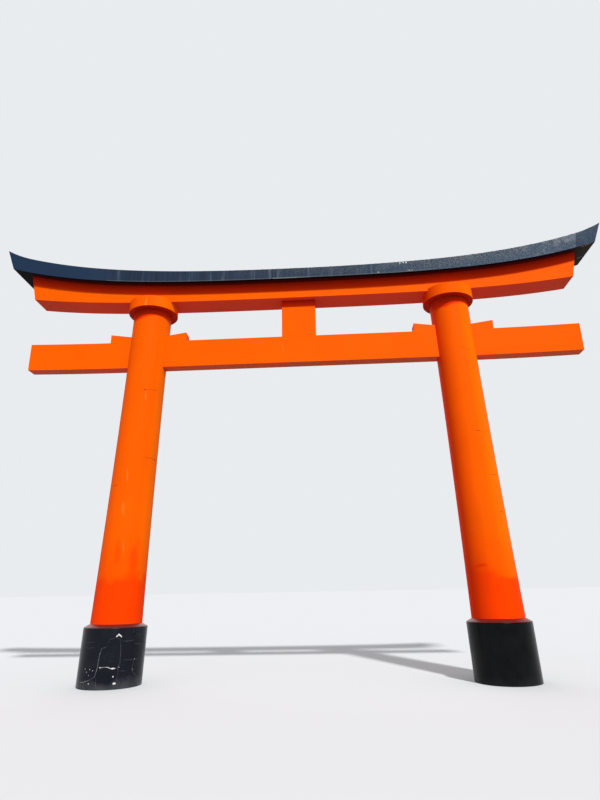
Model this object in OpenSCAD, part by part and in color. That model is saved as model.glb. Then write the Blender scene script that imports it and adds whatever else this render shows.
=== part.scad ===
// Torii gate: two leaning round pillars on black base sleeves, a wedged tie beam through
// both pillars, a strut, round collars, and a curved lintel under a wider curved cap.
// Millimetres, +Z up, front face towards -Y, origin on the ground midway between the pillars.

/* [Pillars] */
// Distance between the two pillar axes at the ground
pillar_spacing = 7210; // [6200:10:9000]
// Lean of each pillar towards the middle, in degrees
pillar_lean = 2.4; // [0:0.1:3.5]
// Diameter of a pillar where it leaves its base sleeve
pillar_foot_d = 946; // [840:2:1040]
// Diameter of a pillar under its collar
pillar_top_d = 812; // [700:2:840]

/* [Base sleeves] */
// Diameter of the sleeve round each pillar's foot
sleeve_d = 1158; // [1080:2:1300]
// Height of the sleeve's straight side
sleeve_h = 1002; // [600:2:1400]
// Rise of the sloped shoulder from the sleeve's edge to the pillar
shoulder_h = 58; // [20:1:100]
// Radius of the rounded rim between the side and the shoulder
rim_r = 24; // [8:1:40]

/* [Tie beam] */
// Height of the tie beam's underside above the ground
tie_z = 6213; // [5000:1:6400]
// Height of the tie beam's face
tie_h = 605; // [450:1:700]
// Thickness of the tie beam from front to back
tie_t = 274; // [200:2:360]
// Overall length of the tie beam
tie_len = 11900; // [10400:10:13000]
// Rise of the tie beam's ends above its straight middle
tie_end_rise = 40; // [0:1:80]
// Length of the halved joint inside each pillar
tie_lap = 500; // [300:10:640]

/* [Wedges] */
// Distance from a pillar's axis to a wedge's thick end
wedge_reach = 840; // [700:5:1000]
// Height of a wedge at its thick end
wedge_h = 192; // [150:1:230]
// Slope of a wedge's top, in degrees
wedge_slope = 8.2; // [4:0.1:9]
// Distance from a pillar's axis to a wedge's thin end
wedge_tip = 40; // [20:1:120]

/* [Strut] */
// Width of the strut between the tie beam and the lintel
strut_w = 738; // [500:2:900]
// Thickness of the strut from front to back
strut_t = 274; // [200:2:400]

/* [Collars] */
// Diameter of the collar on each pillar
collar_d = 1068; // [960:2:1200]
// Height of the collar below the lintel
collar_h = 219; // [120:1:300]
// Width of the eased edge round the collar's foot
collar_ease = 10; // [2:1:30]
// Depth to which the lintel is let into the collar
collar_housing = 35; // [10:1:80]

/* [Lintel] */
// Height of the lintel's underside above the ground, at the middle
lintel_z = 7688; // [7350:1:8200]
// Height of the lintel's face at the middle
lintel_h = 377; // [300:1:500]
// Thickness of the lintel from front to back
lintel_t = 546; // [440:2:640]
// Length of the lintel along its underside
lintel_len = 11900; // [10400:10:12400]
// Overhang of each lintel end from bottom to top
lintel_end_cut = 132; // [0:2:200]
// Rise of the lintel's underside from the middle to its ends
lintel_rise = 224; // [80:1:300]
// Length of the halved joint over each pillar
lintel_lap = 700; // [400:10:900]

/* [Cap] */
// Height of the cap's face at the middle
cap_h = 240; // [180:1:340]
// Depth of the cap from front to back
cap_t = 920; // [700:2:1060]
// Length of the cap along its underside
cap_len = 12900; // [12600:10:14000]
// Overhang of each cap end from bottom to top
cap_end_cut = 216; // [0:1:280]
// Rise of the cap's underside from the middle to its ends
cap_rise = 554; // [300:1:700]
// How much more the cap's top rises than its underside
cap_flare = 188; // [60:1:240]
// Further lift of the cap's top at its very tips
cap_tip_lift = 72; // [0:1:120]
// Length of each tip that is lifted further
cap_tip_len = 600; // [300:10:1200]
// Height of the cap's weathered ridge above its edges
cap_ridge_h = 70; // [30:1:120]
// Length of the halved joint over each pillar
cap_lap = 900; // [500:10:1100]

/* [Hidden] */
$fn = 96;

left = -1;
right = 1;
// The curved beams are drawn as chords between stations this far apart
station = 125;
// Steps in the pillar's taper
taper_steps = 12;
// Steps in the sleeve's rounded rim, and how far from upright it stops, in degrees
rim_steps = 4;
rim_stop = 15;
// Spare length of a solid that is cut back by another
spare = 200;

vermilion = "#f25c1a";
slate_black = "#39444f";
gloss_black = "#202326";

// The curves bend faster towards their ends: a share follows the square of the distance
// from the middle and the rest follows its fourth power
cap_under_square = 0.25;
cap_top_square = 0.40;
lintel_under_square = 0.17;
function bend(x, half, rise, square) =
    let (u = x / half) rise * (square * pow(u, 2) + (1 - square) * pow(u, 4));

cap_z = lintel_z + lintel_h;
cap_half = cap_len / 2;
lintel_half = lintel_len / 2;
tie_half = tie_len / 2;

// Axis of a pillar, as its distance from the middle at a height
function axis_x(z) = pillar_spacing / 2 - z * tan(pillar_lean);

tie_axis_x = axis_x(tie_z + tie_h);
lintel_axis_x = axis_x(lintel_z);

cap_under = function (x) cap_z + bend(x, cap_half, cap_rise, cap_under_square);
cap_reach = cap_half + cap_end_cut;
function tip_lift(x) =
    cap_tip_lift * pow(max(0, abs(x) - cap_reach + cap_tip_len) / cap_tip_len, 2);
cap_top = function (x)
    cap_z + cap_h + bend(x, cap_reach, cap_rise + cap_flare, cap_top_square) + tip_lift(x);
cap_ridge = function (x) cap_top(x) + cap_ridge_h;
lintel_under = function (x) lintel_z + bend(x, lintel_half, lintel_rise, lintel_under_square);
function tie_lift(x) =
    tie_end_rise * pow(max(0, abs(x) - tie_axis_x) / (tie_half - tie_axis_x), 2);
tie_under = function (x) tie_z + tie_lift(x);
tie_top = function (x) tie_z + tie_h + tie_lift(x);

// Height of a curve at x, along the chord between its two nearest stations
function chord(curve, x) =
    let (i = floor(x / station), t = x / station - i)
    curve(i * station) * (1 - t) + curve((i + 1) * station) * t;
// The stations from a to b, with both ends
function stations(a, b) =
    concat([a], [for (i = [floor(a / station) + 1 : ceil(b / station) - 1]) i * station], [b]);
// Whether an outline turns at q, on its way from p to r
function turns(p, q, r) = abs((q.y - p.y) * (r.x - q.x) - (r.y - q.y) * (q.x - p.x)) > 0.01;
// Points along a curve from a up to b, without those on a straight stretch, and from b back to a
function along(curve, a, b) =
    let (p = [for (x = stations(a, b)) [x, chord(curve, x)]], last = len(p) - 1)
    [for (i = [0 : last]) if (i == 0 || i == last || turns(p[i - 1], p[i], p[i + 1])) p[i]];
function back_along(curve, a, b) =
    let (p = along(curve, a, b)) [for (i = [len(p) - 1 : -1 : 0]) p[i]];

seat_z = chord(lintel_under, lintel_axis_x);
collar_z = seat_z - collar_h;

// A front outline in x and z, made into a beam of thickness t centred on the gate
module beam(t) {
    rotate([90, 0, 0]) linear_extrude(t, center = true) children();
}

// Outline of a whole beam between two curves, longer at the top by cut at each end
module whole_outline(under, top, half, cut) {
    polygon(concat(along(under, -half, half), back_along(top, -half - cut, half + cut)));
}

// Outline of the middle length, whose lower half runs on past each joint
module middle_outline(under, top, joint, lap) {
    low = joint + lap / 2;
    high = joint - lap / 2;
    mid_z = (chord(under, joint) + chord(top, joint)) / 2;
    polygon(concat(along(under, -low, low), [[low, mid_z], [high, mid_z]],
                   back_along(top, -high, high), [[-high, mid_z], [-low, mid_z]]));
}

// Outline of the right-hand end length, whose upper half runs back over the joint
module end_outline(under, top, joint, lap, half, cut) {
    low = joint + lap / 2;
    high = joint - lap / 2;
    mid_z = (chord(under, joint) + chord(top, joint)) / 2;
    polygon(concat(along(under, low, half), back_along(top, high, half + cut),
                   [[high, mid_z], [low, mid_z]]));
}

module on_side(side) {
    if (side == left) mirror([1, 0, 0]) children();
    else children();
}

// Stands a solid on a pillar's leaning axis, right-hand side
module leaning() {
    translate([pillar_spacing / 2, 0, 0]) rotate([0, -pillar_lean, 0]) children();
}

// The space between two heights, for cutting a leaning solid level
module level_slab(z0, z1) {
    translate([-pillar_spacing, -sleeve_d, z0]) cube([2 * pillar_spacing, 2 * sleeve_d, z1 - z0]);
}

// Radius of a pillar: the taper fades out towards the top
function pillar_r(z) =
    let (foot_z = sleeve_h + shoulder_h,
         t = max(0, min(1, (z - foot_z) / (collar_z - foot_z))))
    pillar_top_d / 2 + (pillar_foot_d - pillar_top_d) / 2 * pow(1 - t, 2);

module pillar_shaft() {
    foot_z = sleeve_h + shoulder_h;
    steps = [for (i = [0 : taper_steps]) foot_z + (collar_z - foot_z) * i / taper_steps];
    leaning() rotate_extrude()
        polygon(concat([[0, -spare], [pillar_r(0), -spare]],
                       [for (z = steps) [pillar_r(z), z]],
                       [[pillar_r(collar_z), collar_z + spare], [0, collar_z + spare]]));
}

// One wedge on the right-hand pillar: way is 1 on its outer side and -1 on its inner side
module wedge_outline(way) {
    reach = tie_axis_x + way * wedge_reach;
    tip = tie_axis_x + way * wedge_tip;
    end_z = chord(tie_top, reach) + wedge_h;
    tip_z = end_z - (wedge_reach - wedge_tip) * tan(wedge_slope);
    if (way > 0) polygon(concat(along(tie_top, tip, reach), [[reach, end_z], [tip, tip_z]]));
    else polygon(concat(along(tie_top, reach, tip), [[tip, tip_z], [reach, end_z]]));
}

module pillar(side) {
    color(vermilion) on_side(side) difference() {
        intersection() {
            pillar_shaft();
            level_slab(0, collar_z);
        }
        beam(tie_t) {
            whole_outline(tie_under, tie_top, tie_half, 0);
            wedge_outline(1);
            wedge_outline(-1);
        }
    }
}

// Profile of the sleeve's level shoulder and rounded rim. The rim's arc stops short of
// upright, and its last tangent runs down and out through the sleeve's leaning side
function sleeve_profile() =
    let (slope = shoulder_h / ((sleeve_d - pillar_foot_d) / 2),
         pitch = atan(slope),
         mid_x = sleeve_d / 2 - rim_r,
         mid_z = sleeve_h + slope * rim_r - rim_r / cos(pitch),
         arc = [for (i = [0 : rim_steps])
                let (a = rim_stop + (90 - pitch - rim_stop) * i / rim_steps)
                [mid_x + rim_r * cos(a), mid_z + rim_r * sin(a)]])
    concat([[0, 0], [arc[0].x + arc[0].y * tan(rim_stop), 0]], arc,
           [[0, sleeve_h + slope * sleeve_d / 2]]);

module base_sleeve(side) {
    color(gloss_black) on_side(side) difference() {
        intersection() {
            leaning() translate([0, 0, -spare])
                cylinder(d = sleeve_d, h = sleeve_h + shoulder_h + 2 * spare);
            translate([axis_x(sleeve_h), 0, 0]) rotate_extrude() polygon(sleeve_profile());
        }
        pillar_shaft();
    }
}

module collar(side) {
    color(vermilion) on_side(side) difference() {
        translate([lintel_axis_x, 0, collar_z]) {
            cylinder(d1 = collar_d - 2 * collar_ease, d2 = collar_d, h = collar_ease);
            translate([0, 0, collar_ease])
                cylinder(d = collar_d, h = collar_h + collar_housing - collar_ease);
        }
        beam(lintel_t) whole_outline(lintel_under, cap_under, lintel_half, lintel_end_cut);
    }
}

module tie_beam_middle() {
    color(vermilion) beam(tie_t) middle_outline(tie_under, tie_top, tie_axis_x, tie_lap);
}

module tie_beam_end(side) {
    color(vermilion) on_side(side) beam(tie_t)
        end_outline(tie_under, tie_top, tie_axis_x, tie_lap, tie_half, 0);
}

module wedge(side, way) {
    color(vermilion) on_side(side) beam(tie_t) wedge_outline(way);
}

module strut() {
    color(vermilion) beam(strut_t)
        polygon(concat(along(tie_top, -strut_w / 2, strut_w / 2),
                       back_along(lintel_under, -strut_w / 2, strut_w / 2)));
}

module lintel_middle() {
    color(vermilion) beam(lintel_t)
        middle_outline(lintel_under, cap_under, lintel_axis_x, lintel_lap);
}

module lintel_end(side) {
    color(vermilion) on_side(side) beam(lintel_t)
        end_outline(lintel_under, cap_under, lintel_axis_x, lintel_lap, lintel_half, lintel_end_cut);
}

// The cap's full run, with a low ridge along its top: five corners at each station
module cap_run() {
    reach = cap_half + cap_end_cut + station;
    xs = stations(-reach, reach);
    n = len(xs);
    corners = [for (x = xs) each [[x, -cap_t / 2, chord(cap_under, x)],
                                  [x, -cap_t / 2, chord(cap_top, x)],
                                  [x, 0, chord(cap_ridge, x)],
                                  [x, cap_t / 2, chord(cap_top, x)],
                                  [x, cap_t / 2, chord(cap_under, x)]]];
    sides = [for (i = [0 : n - 2]) for (k = [0 : 4])
             [5 * i + k, 5 * i + (k + 1) % 5, 5 * (i + 1) + (k + 1) % 5, 5 * (i + 1) + k]];
    polyhedron(corners, concat([[4, 3, 2, 1, 0]], sides,
                               [[for (k = [0 : 4]) 5 * (n - 1) + k]]));
}

module cap_middle() {
    color(slate_black) intersection() {
        beam(cap_t) middle_outline(cap_under, cap_ridge, lintel_axis_x, cap_lap);
        cap_run();
    }
}

module cap_end(side) {
    color(slate_black) on_side(side) intersection() {
        beam(cap_t) end_outline(cap_under, cap_ridge, lintel_axis_x, cap_lap, cap_half, cap_end_cut);
        cap_run();
    }
}

base_sleeve(left);  // left_base_sleeve
base_sleeve(right);  // right_base_sleeve
pillar(left);  // left_pillar
pillar(right);  // right_pillar
collar(left);  // left_collar
collar(right);  // right_collar
tie_beam_middle();
tie_beam_end(left);  // tie_beam_left_end
tie_beam_end(right);  // tie_beam_right_end
wedge(left, 1);  // left_outer_wedge
wedge(left, -1);  // left_inner_wedge
wedge(right, -1);  // right_inner_wedge
wedge(right, 1);  // right_outer_wedge
strut();
lintel_middle();
lintel_end(left);  // lintel_left_end
lintel_end(right);  // lintel_right_end
cap_middle();
cap_end(left);  // cap_left_end
cap_end(right);  // cap_right_end
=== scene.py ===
"""Dresses a vermilion torii gate: its paint, its wear, and a plain studio round it."""

import math
import random

import bmesh
import bpy
from bpy.props import FloatProperty, FloatVectorProperty, IntProperty, PointerProperty
from mathutils import Matrix, Vector
from mathutils.bvhtree import BVHTree


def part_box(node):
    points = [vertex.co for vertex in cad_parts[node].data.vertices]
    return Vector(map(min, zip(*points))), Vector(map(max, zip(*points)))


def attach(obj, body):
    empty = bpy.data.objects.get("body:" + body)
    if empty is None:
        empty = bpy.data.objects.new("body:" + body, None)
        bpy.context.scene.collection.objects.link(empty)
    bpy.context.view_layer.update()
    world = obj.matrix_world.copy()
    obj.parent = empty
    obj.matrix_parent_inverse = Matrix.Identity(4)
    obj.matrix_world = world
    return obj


bl_info = {
    "name": "Torii gate finishes",
    "version": (1, 0, 0),
    "blender": (4, 5, 0),
    "location": "View3D > Sidebar > Torii",
    "description": "Paints and weathers a torii gate and lights it in a plain studio",
    "category": "Object",
}

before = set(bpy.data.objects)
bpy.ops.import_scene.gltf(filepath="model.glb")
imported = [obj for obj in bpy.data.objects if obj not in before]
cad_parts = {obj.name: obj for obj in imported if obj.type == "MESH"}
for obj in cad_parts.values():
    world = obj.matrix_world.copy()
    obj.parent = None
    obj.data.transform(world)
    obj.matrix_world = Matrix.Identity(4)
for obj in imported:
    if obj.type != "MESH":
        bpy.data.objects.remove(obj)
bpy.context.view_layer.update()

MM = 0.001
UP, DOWN, BACKWARDS = Vector((0, 0, 1)), Vector((0, 0, -1)), Vector((0, 1, 0))
# Metres from a member's middle at which a ray starts, outside everything
WELL_OUTSIDE = 2

TIE = ("tie_beam_middle", "tie_beam_left_end", "tie_beam_right_end")
WEDGES = ("left_outer_wedge", "left_inner_wedge", "right_inner_wedge", "right_outer_wedge")
LINTEL = ("lintel_middle", "lintel_left_end", "lintel_right_end")
COLLARS = ("left_collar", "right_collar")
CAP = ("cap_left_end", "cap_middle", "cap_right_end")

# The level way from which the paint is painted palest, as painted light, to the right of straight
# in front, and the way in which the left pillar is painted palest
SUNNY_SIDE = (0.77, -0.64, 0.0)
LEFT_PALE_SIDE = (0.99, -0.14, 0.0)
# Where the painted shade on the sides away from the light begins, and where it is full, from 1
# for the side facing the light to -1 for the opposite one: anywhere, and on the left pillar and its collar
SHELTER, LEFT_SHELTER = (0.6, -0.5), (-0.1, -0.7)
# How many metres higher the newer coat reaches on each pillar, and how steeply its edge climbs
LEFT_FOOT, RIGHT_FOOT = (0.02, 0.1), (0.0, -0.1)
# Joints between the lengths of the cap's facing: metres right of the middle, lean, and darkness
CAP_JOINTS = ((-4.29, 0.0, 0.15), (-0.55, 0.0, 0.85), (6.03, 0.2, 0.3))
# How much less the length beyond the last joint is greyed and crusted
FRESHER_TIP = 0.6

# Paler runs and darker smears in the paint, as degrees to the right of a pillar's front, height,
# half width and half height in millimetres, and strength
LEFT_RUNS = ((25, 5465, 26, 150, 0.4), (1, 3800, 34, 190, 0.4), (3, 3165, 40, 190, 0.4),
             (14, 2412, 30, 190, 0.4))
LEFT_SMEARS = ((2, 2330, 85, 330, 0.34), (42, 2220, 150, 360, 0.45), (50, 2520, 60, 150, 0.2))
RIGHT_SMEARS = ((-34, 1966, 190, 44, 0.8),)
# Checks across the paint of each pillar, as degrees and millimetres up, and nicks with their size
# in millimetres
LEFT_CHECKS = (((20, 5612), (29, 5618), (45, 5632), (62, 5660)),
               ((39, 4184), (61, 4192), (74, 4186), (86, 4168)))
LEFT_NICKS = (((21, 5614), (44, 22)), ((-33, 3622), (110, 22)), ((79, 4180), (70, 20)))
RIGHT_CHECKS = (((0, 6314), (14, 6274), (34, 6240)), ((-5, 4513), (20, 4506), (46, 4502)),
                ((17, 3629), (40, 3640), (60, 3642)), ((31, 2945), (53, 2932)))
# A pale run on the left collar, as degrees and millimetres up
COLLAR_RUN = ((0, 7700), (0.4, 7600), (0.6, 7514))
# A pale hair in the tie beam's paint, as millimetres right and up
BEAM_HAIR = ((-383, 6665), (-351, 6569), (-331, 6451))
# Flakes off the cap, as millimetres right of the middle, share of the face's height, and size
TOP_FLAKES = ((2245, 0.87, 40, 30), (2318, 0.89, 46, 28), (2378, 0.88, 44, 34))
LOW_FLAKES = ((1772, 0.12, 44, 34), (2438, 0.11, 60, 24), (2492, 0.13, 34, 20))
# Pale scars along the grain of the soffit's right end, as millimetres right and back
SOFFIT_SCARS = (((6170, -390), (6270, -414), (6372, -432)), ((6290, 125), (6340, 98), (6396, 68)))

# Cracks in the left sleeve's coating, as degrees to the right of its front and millimetres up
LONG_CRACK = ((9, 700), (0, 670), (-2, 570), (-3, 465), (-3, 380), (-5, 270), (-8, 205), (-16, 165))
LOW_CRACK = ((-16, 165), (-30, 118), (-42, 112))
CROSS_CRACK = ((0, 362), (8, 371), (14, 368), (22, 338), (27, 348))
UPPER_CRACK = ((31, 822), (33, 680), (34, 560), (34, 440), (31, 356), (33, 290), (32, 135))
SIDE_CRACK = ((62, 478), (59, 356), (59, 281), (69, 188), (78, 150))
FINE_CRACKS = (
    ((54, 984), (54, 907)),
    ((34, 785), (44, 779), (57, 794)),
    ((57, 738), (68, 714), (80, 707)),
    ((39, 470), (51, 466), (61, 462), (74, 448)),
    ((-4, 205), (-2, 30)),
    ((35, 295), (47, 289)),
)
FAINT_CRACKS = (
    ((9, 732), (13, 822), (21, 846), (31, 822)),
    ((-34, 765), (-15, 777)),
    ((-30, 677), (-13, 688)),
)
FOOT_SCUFFS = (((-35, 105), (-32, 13)), ((-28, 112), (-26, 19)), ((75, 134), (86, 75)))
# The bold chip is a peak of two strokes. The others are single flakes, with their size in
# millimetres, and specks
PEAK_CHIP = ((22.5, 868), (27, 912), (31.5, 868))
CHIPS = (((25, 211), (26, 26)), ((28, 100), (56, 38)), ((-17, 104), (20, 18)), ((23, 342), (60, 26)),
         ((1, 362), (20, 20)))
SPECKS = ((62, 470), (-25, 283), (-18, 331), (-19, 236), (-12, 313), (-29, 336), (60, 300), (33, 356))


def linear(hex_colour):
    """An sRGB colour written as #RRGGBB, as the three linear values that a shader takes."""
    values = [int(hex_colour[i:i + 2], 16) / 255 for i in (1, 3, 5)]
    return tuple(v / 12.92 if v <= 0.04045 else ((v + 0.055) / 1.055) ** 2.4 for v in values)


# What all colours have in common
COLOUR = {"subtype": "COLOR", "size": 3, "min": 0, "max": 1}


class VermilionSettings(bpy.types.PropertyGroup):
    """Vermilion paint, brushed on planed timber."""

    face: FloatVectorProperty(
        name="Vermilion", description="Colour of sound paint on the faces towards the front",
        default=linear("#FF5F01"), **COLOUR)
    # Painted light: the sides that face the light are painted in this paler orange
    painted_light_tint: FloatVectorProperty(
        name="Bleached", description="Colour of the paint on the sides that get the most sun",
        default=linear("#FF7203"), **COLOUR)
    # Painted shade: the sides away from the light, undersides and the bands under overhangs are painted in
    # this deep red; dark smears use it too
    deep: FloatVectorProperty(
        name="Deep red", description="Colour that the paint keeps where the sun doesn't reach",
        default=linear("#F63303"), **COLOUR)
    fresh: FloatVectorProperty(
        name="Foot", description="Redder colour of the newer coat round the pillars' feet",
        default=linear("#FF4101"), **COLOUR)
    chalk: FloatVectorProperty(
        name="Chalk", description="Colour of paler runs and chalky marks",
        default=linear("#FF8433"), **COLOUR)
    # Painted shade: right under the cap, the lintel and the collars the paint is painted darker with this
    # colour
    painted_shade_dark: FloatVectorProperty(
        name="Grime", description="Colour of the soot in the lee of the cap, the lintel and the collars",
        default=linear("#3A0D0A"), **COLOUR)
    # Painted bounce light: the undersides of the tie beam and the lintel are painted paler with this
    # colour
    bounce_light_tint: FloatVectorProperty(
        name="Bloom", description="Colour of the thin bloom on undersides that stay damp",
        default=linear("#FFA8B8"), **COLOUR)
    dust: FloatVectorProperty(
        name="Dust", description="Colour of dust and damp on the level tops",
        default=linear("#854C30"), **COLOUR)
    foot_height: FloatProperty(
        name="Foot height", description="Height that the newer coat reaches above the ground",
        unit="LENGTH", min=0, max=4, default=1.9)


class CapSettings(bpy.types.PropertyGroup):
    """Black paint on the cap, greyed by weather."""

    # Painted reflection: the slate blue of the sound paint and the blue-grey of the greyed paint are
    # partly a blue sky's reflection painted into the colours
    sound: FloatVectorProperty(
        name="Sound paint", description="Colour of the black paint at the left, which has kept its skin",
        default=linear("#1E3149"), **COLOUR)
    greyed: FloatVectorProperty(
        name="Greyed paint", description="Colour of the weathered paint towards the right",
        default=linear("#4D5B6C"), **COLOUR)
    lichen: FloatVectorProperty(
        name="Lichen", description="Colour of the pale lichen on the weathered paint",
        default=linear("#8A8D8C"), **COLOUR)
    flake: FloatVectorProperty(
        name="Flake", description="Colour of bare priming where the paint has flaked off",
        default=linear("#D9D6D2"), **COLOUR)
    soffit: FloatVectorProperty(
        name="Soffit", description="Colour of the cap's underside",
        default=linear("#0D0A0B"), **COLOUR)
    lichen_start: FloatProperty(
        name="Lichen start", description="How far right of the middle the lichen begins",
        unit="LENGTH", min=-6, max=6, default=-2.0)


class SleeveSettings(bpy.types.PropertyGroup):
    """Glossy black coating on the base sleeves."""

    black: FloatVectorProperty(
        name="Black", description="Colour of the glossy black coating",
        default=linear("#030405"), **COLOUR)
    faded: FloatVectorProperty(
        name="Faded", description="Colour of the coating where it is crazed and has lost its depth",
        default=linear("#12161E"), **COLOUR)
    ground: FloatVectorProperty(
        name="Ground", description="Colour of the ground that shows in craze lines",
        default=linear("#7C7F7E"), **COLOUR)
    chip: FloatVectorProperty(
        name="Chip", description="Colour of the bare ground where a flake has come off",
        default=linear("#E4E6E4"), **COLOUR)
    # Painted reflection: the shoulder is painted with this red-brown as a reflection of the vermilion
    # pillar
    pillar_reflection: FloatVectorProperty(
        name="Washed red", description="Colour of the film that the pillar's paint leaves on the shoulder",
        default=linear("#6A231A"), **COLOUR)


class StudioSettings(bpy.types.PropertyGroup):
    """Camera, light and floor."""

    camera_at: FloatVectorProperty(
        name="Camera", description="Place of the camera", unit="LENGTH", subtype="TRANSLATION",
        size=3, default=(0.583, -11.234, 1.594))
    heading: FloatProperty(
        name="Heading", description="Turn of the camera to the left of straight ahead",
        subtype="ANGLE", default=math.radians(3.009))
    tilt: FloatProperty(
        name="Tilt", description="How far the camera looks up",
        subtype="ANGLE", default=math.radians(18.68))
    roll: FloatProperty(
        name="Roll", description="Roll of the camera", subtype="ANGLE", default=math.radians(-0.981))
    lens: FloatProperty(
        name="Lens", description="Focal length for a film 36 mm high, in millimetres",
        min=10, max=200, default=25.326)
    key_azimuth: FloatProperty(
        name="Key azimuth", description="Turn of the key light to the right of straight in front",
        subtype="ANGLE", default=math.radians(23))
    key_height: FloatProperty(
        name="Key height", description="Height of the key light above the horizon",
        subtype="ANGLE", default=math.radians(48.5))
    key_spread: FloatProperty(
        name="Key spread", description="Apparent width of the key light, which softens shadows",
        subtype="ANGLE", default=math.radians(3.5))
    key_strength: FloatProperty(
        name="Key strength", description="Strength of the key light", min=0, max=20, default=3.45)
    back_azimuth: FloatProperty(
        name="Back azimuth", description="Turn of the soft back light to the right of straight in front",
        subtype="ANGLE", default=math.radians(200))
    back_height: FloatProperty(
        name="Back height", description="Height of the soft back light above the horizon",
        subtype="ANGLE", default=math.radians(40))
    back_spread: FloatProperty(
        name="Back spread", description="Apparent width of the soft back light",
        subtype="ANGLE", default=math.radians(60))
    back_strength: FloatProperty(
        name="Back strength", description="Strength of the soft back light",
        min=0, max=20, default=0.5)
    fill: FloatVectorProperty(
        name="Fill", description="Colour of the even light from all round",
        default=linear("#F4F7FB"), **COLOUR)
    fill_strength: FloatProperty(
        name="Fill strength", description="Strength of the even light from all round",
        min=0, max=5, default=0.63)
    floor: FloatVectorProperty(
        name="Floor", description="Colour of the floor as the camera sees it",
        default=linear("#C7C8C9"), **COLOUR)
    floor_bounce: FloatVectorProperty(
        name="Floor bounce", description="Colour of the floor as it lights the gate from below",
        default=linear("#7C7C7A"), **COLOUR)
    backdrop: FloatVectorProperty(
        name="Backdrop", description="Colour that the camera sees beyond the floor",
        default=linear("#E9ECEF"), **COLOUR)


def per_metre(millimetres):
    """Scale of a pattern whose features are this far apart."""
    return 1000 / millimetres


def add(tree, kind, inputs=(), out=0, **settings):
    """Adds a node with its settings, and gives one of its outputs. Its inputs are values or links,
    in the node's own order or by name or number. A MapRange takes a value, the ends of its range,
    and the ends that they become. A Mix takes its share as 0, numbers as 2 and 3, and colours as
    6 and 7, which it gives as output 2."""
    node = tree.nodes.new("ShaderNode" + kind)
    for name, value in settings.items():
        setattr(node, name, value)
    for key, value in inputs.items() if isinstance(inputs, dict) else enumerate(inputs):
        socket = node.inputs[key]
        if isinstance(value, bpy.types.NodeSocket):
            tree.links.new(value, socket)
        else:
            socket.default_value = (*value, 1) if socket.type == "RGBA" else value
    return node.outputs[out]


def new_material(name, **sockets):
    """A material with one Principled shader, and its tree and shader."""
    material = bpy.data.materials.new(name)
    material.use_nodes = True
    tree = material.node_tree
    shader = tree.nodes["Principled BSDF"]
    for socket, value in sockets.items():
        shader.inputs[socket.replace("_", " ")].default_value = value
    return material, tree, shader


def surface_finish(tree, shader, colour, roughness, relief, strength, depth):
    """Links a finish to its shader. An even roughness is None and stays on the shader's own
    socket, and the relief's depth is in metres."""
    tree.links.new(colour, shader.inputs["Base Color"])
    if roughness:
        tree.links.new(roughness, shader.inputs["Roughness"])
    bump = add(tree, "Bump", {"Height": relief, "Strength": strength, "Distance": depth})
    tree.links.new(bump, shader.inputs["Normal"])


def finish_nodes(material, *nodes):
    """Gives some CAD nodes their material."""
    for name in nodes:
        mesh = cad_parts[name].data
        mesh.materials.clear()
        mesh.materials.append(material)


def surface_of(*nodes):
    """The skins of some CAD nodes, as one tree that rays can be cast at."""
    bm = bmesh.new()
    for name in nodes:
        bm.from_mesh(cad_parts[name].data)
    tree = BVHTree.FromBMesh(bm)
    bm.free()
    return tree


def cast(surface, start, way, lift=0.0):
    """Where a ray from start meets a surface, raised by lift towards where it came from."""
    hit = surface.ray_cast(start, way)[0]
    if hit is None:
        raise RuntimeError(f"a ray from {tuple(round(c, 2) for c in start)} meets nothing")
    return hit - way * lift


def cap_underside():
    """Curve of the cap's underside beside the lintel: height as z0 + a x^2 + b x^4, in metres,
    from three rays."""
    beside = (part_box("lintel_middle")[1].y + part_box("cap_middle")[1].y) / 2
    far = 6.0
    skin = surface_of(*CAP)
    z0, z1, z2 = (cast(skin, Vector((x, beside, 0)), UP).z for x in (0, far / 2, far))
    near_square, far_square = (far / 2) ** 2, far ** 2
    b = ((z2 - z0) / far_square - (z1 - z0) / near_square) / (far_square - near_square)
    return z0, (z1 - z0) / near_square - b * near_square, b


class Here:
    """The sockets that tell a material where each place is on the gate, and which way its surface
    faces: up is 1 for a level top and -1 for a level underside."""

    def __init__(self, tree):
        self.place = add(tree, "TexCoord", out="Object")
        self.x, self.y, self.z = add(tree, "SeparateXYZ", (self.place,)).node.outputs
        self.normal = add(tree, "NewGeometry", out="Normal")
        self.up = add(tree, "SeparateXYZ", (self.normal,), "Z")


def curve_height(tree, here, curve):
    """Height of an underside's curve over or under each place."""
    z0, a, b = curve
    square = add(tree, "Math", (here.x, here.x), operation="MULTIPLY")
    slope = add(tree, "Math", (square, b, a), operation="MULTIPLY_ADD")
    return add(tree, "Math", (square, slope, z0), operation="MULTIPLY_ADD")


def soft_spots(tree, place, spots):
    """How strong any of some soft oval spots is at each place. A spot is its centre and its three
    half widths, in metres, and its strength in the middle."""
    covered = 0.0
    for centre, half, strength in spots:
        local = add(tree, "Mapping", {"Vector": place, "Scale": [1 / h for h in half],
                                      "Location": [-c / h for c, h in zip(centre, half)]})
        far = add(tree, "VectorMath", (local,), "Value", operation="LENGTH")
        spot = add(tree, "MapRange", (far, 1.0, 0.3, 0.0, strength), interpolation_type="SMOOTHSTEP")
        covered = add(tree, "Math", (covered, spot), operation="MAXIMUM")
    return covered


def newer_coat(tree, here, foot, clouds):
    """How far the newer coat at a pillar's foot covers each place. It ends in a cloudy edge, with
    a thin haze above it."""
    top, climb = foot
    wobble = 0.7
    edge = top.z - climb * top.x + wobble / 2
    level = add(tree, "Math", (here.x, -climb, here.z), operation="MULTIPLY_ADD")
    cloudy = add(tree, "Math", (clouds, wobble, level), operation="MULTIPLY_ADD")
    full = add(tree, "MapRange", (cloudy, edge + 0.18, edge - 0.16), interpolation_type="SMOOTHSTEP")
    haze = add(tree, "MapRange", (cloudy, edge + 0.8, edge - 0.05, 0.0, 0.4))
    return add(tree, "Math", (full, haze), operation="MAXIMUM")


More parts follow.
